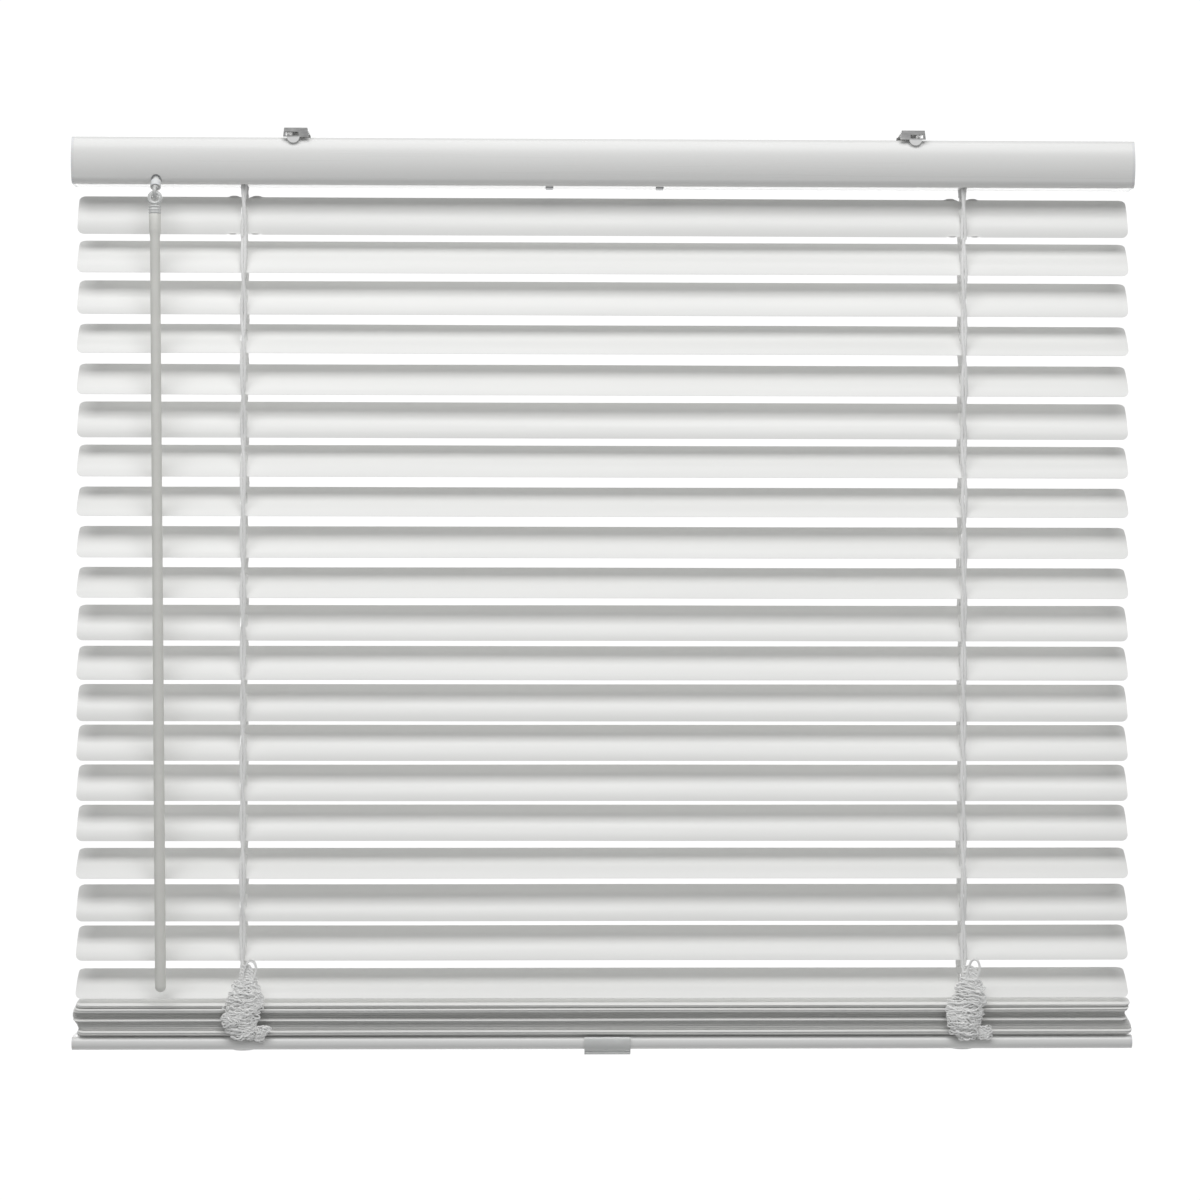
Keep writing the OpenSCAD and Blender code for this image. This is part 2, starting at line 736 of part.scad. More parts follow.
module bottom_rail() {
    color("white") difference() {
        along_x(bottom_rail_len - 2 * bottom_cap_t) difference() {
            bottom_section(0);
            bottom_section(bottom_wall);
        }
        // A hole for each lift cord in the top, and a larger one for the plug under it
        at_ladders() {
            translate([0, 0, bottom_rail_z - 2]) cylinder(r = cord_hole_r, h = 3);
            translate([0, 0, bottom_rail_z - bottom_rail_h - 1]) cylinder(r = plug_r + 0.2, h = 3);
        }
    }
}

// End caps, and the round plugs that hold the cords' knots under the rail
module bottom_rail_caps() {
    collar_len = 5;
    plug_flange_r = 6;
    cap_in = bottom_rail_len / 2 - bottom_cap_t;
    color("white") for (side = [-1, 1]) {
        translate([side * (cap_in + bottom_cap_t / 2), 0, 0]) along_x(bottom_cap_t) bottom_section(0);
        translate([side * (cap_in - collar_len / 2 + over / 2), 0, 0])
            along_x(collar_len + over) bottom_section(bottom_wall + 0.1);
    }
    color("white") at_ladders() translate([0, 0, bottom_rail_z - bottom_rail_h]) {
        translate([0, 0, -1]) cylinder(r = plug_flange_r, h = 0.9);
        translate([0, 0, -over - 0.1]) cylinder(r = plug_r, h = 2.6);
    }
}

// A clear clip round the front of the bottom rail and under it, with a lip for the finger
module pull_handle() {
    shell = 1.4;
    gap = 0.15;
    clip_back_y = -3;
    clip_top_z = bottom_rail_z - 0.4;
    lip_y = -10.2;
    lip_r = 1.1;
    color("lightcyan") translate([handle_x, 0, 0]) along_x(handle_w) {
        difference() {
            bottom_section(-shell - gap);
            bottom_section(-gap);
            translate([clip_back_y, bottom_rail_z - 2 * bottom_rail_h])
                square([bottom_rail_depth, 3 * bottom_rail_h]);
            translate([-bottom_rail_depth, clip_top_z]) square([2 * bottom_rail_depth, bottom_rail_h]);
        }
        translate([lip_y, bottom_rail_z - bottom_rail_h - shell - gap - 0.3]) circle(r = lip_r, $fn = 24);
    }
}

headrail();
headrail_end_caps();
ceiling_brackets();
tilter_housing();
tilt_worm();
tilt_gear();
tilt_rod();
ladder_drums();
ladder_cradles();
wand_hook();
tilt_wand();
spring_motor_case();
lift_spool();
lift_spring();
lift_cords();
front_ladder_cords();
back_ladder_cords();
cord_bunches();
bottom_rail();
bottom_rail_caps();
pull_handle();
stacked_slats();
for (k = [1:hanging_slats])
    slat(k);
for (k = [2:hanging_slats - 1])
    ladder_rungs(k);
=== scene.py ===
import json
import math
import random

import bmesh
import bpy
from mathutils import Matrix, Vector


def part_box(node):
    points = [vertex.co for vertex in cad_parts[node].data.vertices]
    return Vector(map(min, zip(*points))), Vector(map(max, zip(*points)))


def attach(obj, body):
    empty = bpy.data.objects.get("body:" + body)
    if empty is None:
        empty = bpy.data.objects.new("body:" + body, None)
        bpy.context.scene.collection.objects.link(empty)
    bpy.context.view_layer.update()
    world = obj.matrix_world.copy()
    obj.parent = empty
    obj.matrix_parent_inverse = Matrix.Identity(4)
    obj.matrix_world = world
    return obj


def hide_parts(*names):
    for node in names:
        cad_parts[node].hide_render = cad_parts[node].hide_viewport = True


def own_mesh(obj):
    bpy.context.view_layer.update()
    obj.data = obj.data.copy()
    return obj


# A cordless venetian blind. Lengths are in millimetres until a mesh is made, as in the CAD model:
# X runs along the slats, -Y faces the room, +Z is up, and the origin is on the ceiling plane.

MM = 0.001

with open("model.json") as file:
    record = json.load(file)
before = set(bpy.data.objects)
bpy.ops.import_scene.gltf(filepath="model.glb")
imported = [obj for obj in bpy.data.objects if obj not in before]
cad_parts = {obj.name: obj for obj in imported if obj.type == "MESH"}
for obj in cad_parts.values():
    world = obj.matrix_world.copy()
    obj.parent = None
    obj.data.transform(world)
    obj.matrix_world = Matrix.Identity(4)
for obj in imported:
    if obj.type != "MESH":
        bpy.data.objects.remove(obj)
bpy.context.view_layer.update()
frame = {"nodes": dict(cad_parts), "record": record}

# ---- Driving dimensions ----

# The lowest corner of the headrail's box and the highest corner of the bottom rail's box
HEADRAIL_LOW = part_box("headrail")[0] / MM
RAIL_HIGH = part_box("bottom_rail")[1] / MM
LADDER_X = 203.7
LADDERS = (-LADDER_X, LADDER_X)

SLAT_COUNT = 20
SLAT_LEN = 595
SLAT_HALF = 12.5
SLAT_T = 0.25
ARCH_R = 36
CORNER_R = 3.5
SAG = ARCH_R - math.sqrt(ARCH_R ** 2 - SLAT_HALF ** 2)
CREST = SAG / 3
FIRST_Z = -50.4
PITCH = 22.6
TILT = 50
# From the first slat to the last
# The upper end of a random phase, close to a full turn
ANY_PHASE = 6.28

# How far each hanging slat has turned away from the common tilt, from the first to the last, in degrees
LEANS = (14, 1, 4, -5, -3, 7, -2, -7, -4, -6, 3, -1, 5, 2, 2, 1, -11, 1, -4, -14)
# How far a slat hangs above or below its even place in the ladder: (slat, height)
DRIFT_KNOTS = ((1, 3.0), (7, 0.2), (11, -1.2), (20, -1.7))

STACK_COUNT = 33
STACK_PITCH = 0.5

WAND_X = -252.5
WAND_Y = -16.5
PIN_Z = -47
WAND_TIP_Z = -485.5
WAND_LEAN = math.radians(0.5)
LINK_Z = -38.5
WORM_SLANT = 35


def slat_z(k):
    """Height of slat k's pivot line."""
    return FIRST_Z - (k - 1) * PITCH


def slat_drift(k):
    """How far slat k hangs above its even place in the ladder."""
    for (start, high), (end, low) in zip(DRIFT_KNOTS, DRIFT_KNOTS[1:]):
        if k <= end:
            return high + (low - high) * (k - start) / (end - start)


def slat_frame(k):
    """Takes a point on a flat-lying slat, or beside it, to where slat k hangs."""
    turn = Matrix.Rotation(math.radians(TILT + LEANS[k - 1]), 4, "X")
    return Matrix.Translation((0, 0, slat_z(k) + slat_drift(k))) @ turn


# ---- Mesh helpers ----


def add_mesh(name, points, faces, sharp=40):
    """A smooth-shaded mesh object from points in millimetres, with edges over `sharp` degrees kept crisp."""
    mesh = bpy.data.meshes.new(name)
    mesh.from_pydata([tuple(c * MM for c in p) for p in points], [], faces)
    shape = bmesh.new()
    shape.from_mesh(mesh)
    bmesh.ops.recalc_face_normals(shape, faces=shape.faces)
    shape.to_mesh(mesh)
    shape.free()
    mesh.polygons.foreach_set("use_smooth", [True] * len(mesh.polygons))
    mesh.set_sharp_from_angle(angle=math.radians(sharp))
    piece = bpy.data.objects.new(name, mesh)
    bpy.context.scene.collection.objects.link(piece)
    return piece


def dress(piece, body, slot, *nodes, look=None):
    """Gives a new piece its material, its body and the CAD nodes that it stands for."""
    piece.data.materials.append(MATERIALS[look or slot])
    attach(piece, body)
    if nodes:
        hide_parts(*nodes)
    return piece


def thicken(points, normals, quads, thickness):
    """A closed sheet from one surface: both sides, and a rim along every open edge."""
    half = thickness / 2
    count = len(points)
    both = [tuple(p[i] + n[i] * half for i in range(3)) for p, n in zip(points, normals)]
    both += [tuple(p[i] - n[i] * half for i in range(3)) for p, n in zip(points, normals)]
    faces = list(quads) + [tuple(i + count for i in reversed(q)) for q in quads]
    seen = {}
    for quad in quads:
        for a, b in zip(quad, quad[1:] + quad[:1]):
            seen[(a, b)] = True
    for a, b in seen:
        if (b, a) not in seen:
            faces.append((b, a, a + count, b + count))
    used = sorted({i for f in faces for i in f})
    place = {old: new for new, old in enumerate(used)}
    return [both[i] for i in used], [tuple(place[i] for i in f) for f in faces]


def merge(parts):
    """One list of points and faces from several."""
    points, faces = [], []
    for part_points, part_faces in parts:
        base = len(points)
        points += part_points
        faces += [tuple(i + base for i in f) for f in part_faces]
    return points, faces


def spaced(start, end, step):
    """Values from start to end, about `step` apart, with both ends."""
    count = max(1, round(abs(end - start) / step))
    return [start + (end - start) * i / count for i in range(count + 1)]


def smooth_path(knots, step):
    """Points about `step` apart on a smooth curve through the knots."""
    knots = [Vector(k) for k in knots]
    ends = [knots[0] * 2 - knots[1]] + knots + [knots[-1] * 2 - knots[-2]]
    path = []
    for a, b, c, d in zip(ends, ends[1:], ends[2:], ends[3:]):
        pieces = max(1, round((c - b).length / step))
        for i in range(pieces):
            t = i / pieces
            path.append(0.5 * (2 * b + (c - a) * t + (2 * a - 5 * b + 4 * c - d) * t ** 2
                               + (3 * b - a - 3 * c + d) * t ** 3))
    return path + [knots[-1]]


def sweep(path, radius, sides=8, lobes=0, lobe_depth=0.0, twist=0.0):
    """A closed tube along a path. Its lobes, a cord's plies, turn `twist` radians a millimetre."""
    points, faces = [], []
    ahead = (path[1] - path[0]).normalized()
    across = ahead.orthogonal().normalized()
    run = 0.0
    for i, here in enumerate(path):
        after = path[min(i + 1, len(path) - 1)]
        before = path[max(i - 1, 0)]
        along = (after - before).normalized()
        across = (across - along * across.dot(along)).normalized()
        up = along.cross(across)
        run += (here - before).length
        for j in range(sides):
            angle = 2 * math.pi * j / sides
            reach = radius(i / (len(path) - 1)) if callable(radius) else radius
            if lobes:
                reach *= 1 + lobe_depth * math.cos(lobes * (angle - twist * run))
            points.append(tuple(here + reach * (math.cos(angle) * across + math.sin(angle) * up)))
    for i in range(len(path) - 1):
        for j in range(sides):
            a, b = i * sides + j, i * sides + (j + 1) % sides
            faces.append((a, b, b + sides, a + sides))
    faces.append(tuple(range(sides)))
    faces.append(tuple((len(path) - 1) * sides + j for j in reversed(range(sides))))
    return points, faces


def lathe(outline, sides=48):
    """A solid turned about Z from (radius, height) points. The first and last lie on the axis."""
    points, faces = [(0, 0, outline[0][1])], []
    rings = outline[1:-1]
    for radius, height in rings:
        for j in range(sides):
            angle = 2 * math.pi * j / sides
            points.append((radius * math.cos(angle), radius * math.sin(angle), height))
    points.append((0, 0, outline[-1][1]))
    last = len(points) - 1
    for j in range(sides):
        k = (j + 1) % sides
        faces.append((0, 1 + k, 1 + j))
        for i in range(len(rings) - 1):
            a, b = 1 + i * sides, 1 + (i + 1) * sides
            faces.append((a + j, a + k, b + k, b + j))
        a = 1 + (len(rings) - 1) * sides
        faces.append((a + j, a + k, last))
    return points, faces


def turned_ring(outline, place, sides=40):
    """A ring with the closed outline of (radius, height) corners, turned about Z and then placed."""
    count = len(outline)
    turns = [2 * math.pi * j / sides for j in range(sides)]
    points = [place @ Vector((r * math.cos(a), r * math.sin(a), z)) for a in turns for r, z in outline]
    faces = [(j * count + i, j * count + (i + 1) % count,
              (j + 1) % sides * count + (i + 1) % count, (j + 1) % sides * count + i)
             for j in range(sides) for i in range(count)]
    return points, faces


def circle(radius, sides=40):
    """Closed (across, up) points round a circle, from its top."""
    turns = [2 * math.pi * i / sides for i in range(sides + 1)]
    return [(radius * math.sin(a), radius * math.cos(a)) for a in turns]


# ---- Materials ----


def material(name, **sockets):
    """A new material and its nodes, with uniform values set on the shader's own sockets."""
    made = bpy.data.materials.new(name)
    made.use_nodes = True
    nodes = made.node_tree.nodes
    shader = nodes["Principled BSDF"]
    for socket, value in sockets.items():
        shader.inputs[socket.replace("_", " ")].default_value = value
    return made, nodes, made.node_tree.links, shader


def noise(nodes, links, scale, detail=3, stretch=(1, 1, 1), offset=0.0):
    """Noise on object coordinates. The stretch thins the pattern along an axis."""
    where = nodes.new("ShaderNodeTexCoord")
    mapping = nodes.new("ShaderNodeMapping")
    mapping.inputs["Scale"].default_value = stretch
    mapping.inputs["Location"].default_value = (offset, offset, offset)
    texture = nodes.new("ShaderNodeTexNoise")
    texture.inputs["Scale"].default_value = scale
    texture.inputs["Detail"].default_value = detail
    links.new(where.outputs["Object"], mapping.inputs["Vector"])
    links.new(mapping.outputs["Vector"], texture.inputs["Vector"])
    return texture.outputs["Fac"]


def ramp(nodes, links, fac, low, high, start=0.3, end=0.7):
    """A colour ramp between two colours or two grey levels."""
    made = nodes.new("ShaderNodeValToRGB")
    as_colour = [(v, v, v, 1) if isinstance(v, (int, float)) else (*v, 1) for v in (low, high)]
    made.color_ramp.elements[0].position = start
    made.color_ramp.elements[1].position = end
    made.color_ramp.elements[0].color = as_colour[0]
    made.color_ramp.elements[1].color = as_colour[1]
    links.new(fac, made.inputs["Fac"])
    return made.outputs["Color"]


def bump(nodes, links, shader, height, distance, strength=0.5):
    """Raises the surface by a height pattern. The distance is in metres."""
    made = nodes.new("ShaderNodeBump")
    made.inputs["Strength"].default_value = strength
    made.inputs["Distance"].default_value = distance
    links.new(height, made.inputs["Height"])
    links.new(made.outputs["Normal"], shader.inputs["Normal"])


def enamel(name, tone, rough, grain, gloss=0.5):
    """Baked white enamel on sheet metal: faint mottling, orange peel and streaks along the rolled strip."""
    made, nodes, links, shader = material(name, IOR=1.5, Specular_IOR_Level=gloss, Coat_Weight=0.3 * gloss,
                                          Coat_Roughness=0.2)
    mottle = noise(nodes, links, 14, 4, (0.25, 1, 1))
    dark = tuple(c * 0.975 for c in tone)
    links.new(ramp(nodes, links, mottle, dark, tone), shader.inputs["Base Color"])
    streaks = noise(nodes, links, 300, 2, (0.02, 1, 1), 3.1)
    links.new(ramp(nodes, links, streaks, rough - 0.05, rough + 0.06), shader.inputs["Roughness"])
    bump(nodes, links, shader, noise(nodes, links, grain, 3, (1, 1, 1), 7.7), 0.00004, 0.35)
    return made


def moulded(name, tone, rough, grain=900, **sockets):
    """Moulded plastic: near even in colour, with a fine matt grain and faint flow marks."""
    made, nodes, links, shader = material(name, IOR=1.49, **sockets)
    flow = noise(nodes, links, 60, 3, (0.4, 1, 1))
    dark = tuple(c * 0.94 for c in tone)
    links.new(ramp(nodes, links, flow, dark, tone), shader.inputs["Base Color"])
    links.new(ramp(nodes, links, flow, rough, rough + 0.1), shader.inputs["Roughness"])
    bump(nodes, links, shader, noise(nodes, links, grain, 3, (1, 1, 1), 5.3), 0.00003, 0.3)
    return made


def plated(name, dark, light, rough, stretch):
    """Bright or zinc plated steel: cloudy crystals and fine rolling lines."""
    made, nodes, links, shader = material(name, Metallic=1.0)
    clouds = noise(nodes, links, 180, 5)
    links.new(ramp(nodes, links, clouds, dark, light), shader.inputs["Base Color"])
    lines = noise(nodes, links, 2500, 2, stretch, 1.9)
    links.new(ramp(nodes, links, lines, rough - 0.08, rough + 0.12), shader.inputs["Roughness"])
    bump(nodes, links, shader, lines, 0.00002, 0.4)
    return made


def bracket_zinc(name):
    """Cloudy zinc plating, with the tongue that laps over the headrail painted white like the rail."""
    made = plated(name, (0.5, 0.5, 0.5), (0.78, 0.78, 0.77), 0.42, (0.05, 1, 1))
    nodes, links = made.node_tree.nodes, made.node_tree.links
    shader = nodes["Principled BSDF"]
    zinc = shader.inputs["Base Color"].links[0].from_socket
    where = nodes.new("ShaderNodeTexCoord")
    split = nodes.new("ShaderNodeSeparateXYZ")
    zone = nodes.new("ShaderNodeMapRange")
    # Painted below the first height, in metres, and bare above the second
    zone.inputs["From Min"].default_value = -0.0056
    zone.inputs["From Max"].default_value = -0.0046
    links.new(where.outputs["Object"], split.inputs["Vector"])
    links.new(split.outputs["Z"], zone.inputs["Value"])
    links.new(zone.outputs["Result"], shader.inputs["Metallic"])
    paint = ramp(nodes, links, noise(nodes, links, 40), (0.82, 0.82, 0.815), (0.86, 0.86, 0.855))
    mix = nodes.new("ShaderNodeMix")
    mix.data_type = "RGBA"
    links.new(zone.outputs["Result"], mix.inputs["Factor"])
    links.new(paint, mix.inputs[6])
    links.new(zinc, mix.inputs[7])
    links.new(mix.outputs[2], shader.inputs["Base Color"])
    return made


def braid(name, tone):
    """Braided polyester cord: fine crossing yarns, matt, with painted shade between the yarns, where their
    height dips.
    """
    made, nodes, links, shader = material(name, Sheen_Weight=0.3, Sheen_Roughness=0.4, Roughness=0.85)
    where = nodes.new("ShaderNodeTexCoord")
    heights = []
    for lean in (0.6, -0.6):
        mapping = nodes.new("ShaderNodeMapping")
        mapping.inputs["Rotation"].default_value = (0, lean, 0)
        wave = nodes.new("ShaderNodeTexWave")
        wave.bands_direction = "Z"
        wave.inputs["Scale"].default_value = 500
        wave.inputs["Distortion"].default_value = 1.5
        links.new(where.outputs["Object"], mapping.inputs["Vector"])
        links.new(mapping.outputs["Vector"], wave.inputs["Vector"])
        heights.append(wave.outputs["Fac"])
    mix = nodes.new("ShaderNodeMath")
    mix.operation = "MAXIMUM"
    links.new(heights[0], mix.inputs[0])
    links.new(heights[1], mix.inputs[1])
    # Painted shade: the cord's colour darkens to this grey where the yarns' height falls away between them
    dark = tuple(c * 0.9 for c in tone)
    links.new(ramp(nodes, links, mix.outputs["Value"], dark, tone, 0.1, 0.8), shader.inputs["Base Color"])
    bump(nodes, links, shader, mix.outputs["Value"], 0.0001, 0.3)
    return made


MATERIALS = {
    "white_steel": enamel("white_steel", (0.86, 0.86, 0.848), 0.3, 1400),
    "slat_enamel": enamel("slat_enamel", (0.86, 0.86, 0.845), 0.36, 1800),
    # The resting slats' enamel is a shade darker than the hanging slats': painted shade for the stack, which
    # lies under the hanging slats
    "resting_enamel_shaded": enamel("resting_enamel_shaded", (0.84, 0.84, 0.825), 0.6, 1800, gloss=0.04),
    "white_plastic": moulded("white_plastic", (0.84, 0.84, 0.84), 0.3, Subsurface_Weight=0.05),
    "grey_plastic": moulded("grey_plastic", (0.6, 0.61, 0.62), 0.45),
    "clear_plastic": moulded("clear_plastic", (0.9, 0.91, 0.9), 0.1, 500, Transmission_Weight=0.3),
    "wand_plastic": moulded("wand_plastic", (0.82, 0.82, 0.78), 0.5, 400, Transmission_Weight=0.05),
    "zinc_steel": bracket_zinc("zinc_steel"),
    "rod_steel": plated("rod_steel", (0.5, 0.5, 0.51), (0.6, 0.6, 0.61), 0.28, (0.02, 1, 1)),
    "spring_steel": plated("spring_steel", (0.28, 0.31, 0.36), (0.38, 0.41, 0.46), 0.3, (1, 1, 0.05)),
    "cord": braid("cord", (0.93, 0.93, 0.92)),
}


def dress_cad_nodes():
    """The CAD nodes whose shape is right stay, and take the material of their slot."""
    slots = {row["node"]: row["material_slot"] for row in frame["record"]["subparts"]}
    for name, node in frame["nodes"].items():
        node.data.materials.clear()
        node.data.materials.append(MATERIALS[slots[name]])


# ---- Camera, lights and floor ----


def add_camera():
    """Looks at the blind's front from a little left of its middle, and level."""
    distance, yaw = 1.8, math.radians(1.32)
    target = Vector((-0.0025, -0.010, -0.26535))
    back = Vector((-math.sin(yaw), -math.cos(yaw), 0))
    data = bpy.data.cameras.new("camera")
    data.lens = 95.7
    data.sensor_width = 36
    camera = bpy.data.objects.new("camera", data)
    camera.location = target + back * distance
    roll = Matrix.Rotation(math.radians(0.08), 4, "Z")
    look = (-back).to_track_quat("-Z", "Y").to_matrix().to_4x4() @ roll
    camera.rotation_euler = look.to_euler()
    bpy.context.scene.collection.objects.link(camera)
    bpy.context.scene.camera = camera


def add_light(name, place, aim, size, power):
    """A soft rectangular studio light, which the camera doesn't see."""
    data = bpy.data.lights.new(name, "AREA")
    data.shape = "RECTANGLE"
    data.size, data.size_y = size
    data.energy = power
    light = bpy.data.objects.new(name, data)
    light.location = place
    light.rotation_euler = (Vector(aim) - Vector(place)).to_track_quat("-Z", "Y").to_euler()
    light.visible_camera = False
    bpy.context.scene.collection.objects.link(light)


def add_studio():
    """A wide soft key light above the camera, a white glow from behind and a pale floor far below."""
    middle = (0, 0, -0.27)
    add_light("key", (-0.15, -1.12, 1.45), middle, (2.8, 1.1), 34.5)
    add_light("glow", (0, 1.6, -0.3), middle, (3.2, 1.6), 27)

    world = bpy.data.worlds.new("studio")
    world.use_nodes = True
    nodes, links = world.node_tree.nodes, world.node_tree.links
    seen = nodes["Background"]
    seen.inputs["Color"].default_value = (1, 1, 1, 1)
    seen.inputs["Strength"].default_value = 1.05
    around = nodes.new("ShaderNodeBackground")
    around.inputs["Color"].default_value = (0.98, 0.99, 1, 1)
    around.inputs["Strength"].default_value = 0.26
    path = nodes.new("ShaderNodeLightPath")
    mix = nodes.new("ShaderNodeMixShader")
    links.new(path.outputs["Is Camera Ray"], mix.inputs["Fac"])
    links.new(around.outputs["Background"], mix.inputs[1])
    links.new(seen.outputs["Background"], mix.inputs[2])
    links.new(mix.outputs["Shader"], nodes["World Output"].inputs["Surface"])
    bpy.context.scene.world = world
    bpy.context.scene.view_settings.view_transform = "Standard"

    # The floor's half width and its level
    reach, drop = 2200, -1300
    corners = [(-reach, -reach, drop), (reach, -reach, drop), (reach, reach, drop), (-reach, reach, drop)]
    floor = add_mesh("studio_floor", corners, [(0, 1, 2, 3)])
    pale, nodes, links, shader = material("studio_floor", Roughness=0.8)
    links.new(ramp(nodes, links, noise(nodes, links, 3), 0.8, 0.84), shader.inputs["Base Color"])
    floor.data.materials.append(pale)


# ---- Slats ----


# Distances between the stations along a slat: in its middle, beside a notch and towards its ends
MIDDLE_STEP, FINE_STEP, END_STEP = 24, 0.8, 16
# How far the fine stations reach on each side of a slot
FINE_REACH = 16


def slat_columns(slot_half_w, slot_half_len, fine):
    """Stations along a slat: (x, half width of the slat, half length of the slot there or None)."""
    corner_x = SLAT_LEN / 2 - CORNER_R
    straight = slot_half_len - slot_half_w
    slot_x = [slot_half_w * math.sin(math.radians(a)) for a in range(-90, 91, 18)]
    inner = LADDER_X - slot_half_w
    outer = LADDER_X + slot_half_w
    near = FINE_REACH if fine else 0
    stations = [(x, SLAT_HALF, None) for x in spaced(0, inner - near, MIDDLE_STEP)[:-1]]
    if fine:
        stations += [(x, SLAT_HALF, None) for x in spaced(inner - near, inner, FINE_STEP)[:-1]]
    for offset in slot_x:
        opening = straight + math.sqrt(max(0, slot_half_w ** 2 - offset ** 2))
        stations.append((LADDER_X + offset, SLAT_HALF, opening))
    if fine:
        stations += [(x, SLAT_HALF, None) for x in spaced(outer, outer + near, FINE_STEP)[1:]]
    stations += [(x, SLAT_HALF, None) for x in spaced(outer + near, corner_x, END_STEP)[1:]]
    for a in range(15, 91, 15):
        turn = math.radians(a)
        half = SLAT_HALF - CORNER_R + CORNER_R * math.cos(turn)
        stations.append((corner_x + CORNER_R * math.sin(turn), half, None))
    mirrored = [(-x, half, slot) for x, half, slot in reversed(stations[1:])]
    return mirrored + stations


# The lips beside the first slat's notches: the last row stands up, and the row before it moves out
LIP_RISE = 1.4
LIP_OUT = 0.8
# How far a lip's middle is from its ladder, and its half width
LIP_AWAY = 6.4
LIP_HALF_W = 2.6
NOTCH_DEPTH = 1.5
NOTCH_HALF_W = 2.2
# The band along a slat's edge that a notch bends
EDGE_BAND = 3
# The faint wave along a slat runs through one radian in this length
WAVE_STRETCH = 47


def edge_shape(x, notched):
    """How deep the notch in the first slat's edge is at x, and how far the lips beside it curl up."""
    if not notched:
        return 0.0, 0.0
    near = min(abs(x - ladder) for ladder in LADDERS)
    notch = NOTCH_DEPTH * math.sqrt(max(0.0, 1 - (near / NOTCH_HALF_W) ** 2))
    return notch, math.exp(-((near - LIP_AWAY) / LIP_HALF_W) ** 4)


def slat_sheet(seed, slot_half_w=2.0, slot_half_len=5.5, notched=False, rows=(3, 5, 7, 9, 10.6, 11.7, 12.5)):
    """Points, normals and quads of a flat-lying arched slat, with its pivot line on X."""
    rng = random.Random(seed)
    wave, phase = rng.uniform(0.03, 0.09), rng.uniform(0, ANY_PHASE)
    straight = slot_half_len - slot_half_w
    inner = [-straight, -straight / 3, straight / 3, straight]
    scaled = [straight + (r - rows[0]) * (SLAT_HALF - straight) / (SLAT_HALF - rows[0]) for r in rows[1:]]
    levels = [-r for r in reversed(scaled)] + inner + scaled
    first_inner, last_inner = len(scaled), len(scaled) + len(inner) - 1
    columns = slat_columns(slot_half_w, slot_half_len, notched)
    points, normals = [], []
    for x, half, slot in columns:
        notch, lip = edge_shape(x, notched)
        for row, level in enumerate(levels):
            reach = abs(level)
            from_edge = min(row, len(levels) - 1 - row)
            if slot is not None and reach >= straight - 1e-6:
                reach = slot + (reach - straight) * (half - slot) / (SLAT_HALF - straight)
            else:
                reach *= half / SLAT_HALF
            near_edge = max(0.0, (reach - SLAT_HALF + EDGE_BAND) / EDGE_BAND)
            reach -= notch * near_edge ** 2
            if from_edge == 1:
                reach += LIP_OUT * lip
            y = math.copysign(reach, level)
            z = CREST - ARCH_R + math.sqrt(ARCH_R ** 2 - y ** 2)
            z += wave * math.sin(x / WAVE_STRETCH + phase)
            if from_edge == 0:
                z += LIP_RISE * lip
            points.append((x, y, z))
            normals.append((0, y / ARCH_R, math.sqrt(1 - (y / ARCH_R) ** 2)))
    quads = []
    for c in range(len(columns) - 1):
        in_slot = columns[c][2] is not None and columns[c + 1][2] is not None
        for r in range(len(levels) - 1):
            if in_slot and first_inner <= r < last_inner:
                continue
            a = c * len(levels) + r
            quads.append((a, a + len(levels), a + len(levels) + 1, a + 1))
    return points, normals, quads


def pile_up(piece):
    """Gives the piece a mesh of its own."""
    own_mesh(piece)


def add_slats():
    """The hanging slats, each at its own lean and height."""
    for k in range(1, SLAT_COUNT + 1):
        points, faces = thicken(*slat_sheet(100 + k, notched=k == 1), SLAT_T)
        place = slat_frame(k)
        slat = add_mesh(f"hanging_slat_{k:02d}", [place @ Vector(p) for p in points], faces)
        dress(slat, f"slat_{k:02d}", "slat_enamel", f"slat_{k:02d}")
        pile_up(slat)


# The resting slats from the bottom up, in groups: (slats in it, how far they are set back)
STACK_GROUPS = ((2, 2.0), (3, -0.4), (2, 2.2), (10, 2.0), (1, 0.1), (9, 3.0), (3, -0.3), (3, 1.2))
# The last group lies loose, a little above the rest
LOOSE_LIFT = 0.9
# The gap under the lowest resting slat
STACK_GAP = 0.2
# The resting slats' ends wander to and fro once over the stack's height: how far, and where in the stack
# they are in line, as a share of its height
STACK_SLIDE = 1.7
SLIDE_START = 0.42


def add_stack():
    """The spare slats, resting on the bottom rail a little out of line with each other."""
    rng = random.Random(41)
    parts = []
    base = RAIL_HIGH.z + STACK_GAP + SLAT_T / 2 + SAG - CREST
    level = 0
    for group, (count, set_back) in enumerate(STACK_GROUPS):
        loose = LOOSE_LIFT if group == len(STACK_GROUPS) - 1 else 0
        for _ in range(count):
            turn = 2 * math.pi * (level / (STACK_COUNT - 1) - SLIDE_START)
            slide = -STACK_SLIDE * math.sin(turn) + rng.uniform(-0.1, 0.1)
            back = set_back + rng.uniform(-0.12, 0.12)
            place = (Matrix.Translation((slide, back, base + level * STACK_PITCH + loose))
                     @ Matrix.Rotation(math.radians(rng.uniform(-0.2, 0.2)), 4, "X"))
            sheet = slat_sheet(500 + level, slot_half_w=2.5, rows=(3, 6, 9, 11.5, SLAT_HALF))
            points, faces = thicken(*sheet, SLAT_T)
            parts.append(([tuple(place @ Vector(p)) for p in points], faces))
            level += 1
    resting = add_mesh("resting_slats", *merge(parts))
    # Duller than the hanging slats, so that the stack's tops don't mirror the light behind it, and a shade
    # darker in colour: painted shade for the stack under the hanging slats
    dress(resting, "bottom_rail", "slat_enamel", "stacked_slats", look="resting_enamel_shaded")


# ---- Cords ----

CORD_R = 0.92
LIFT_CORD_R = 0.5
RUNG_R = 0.18
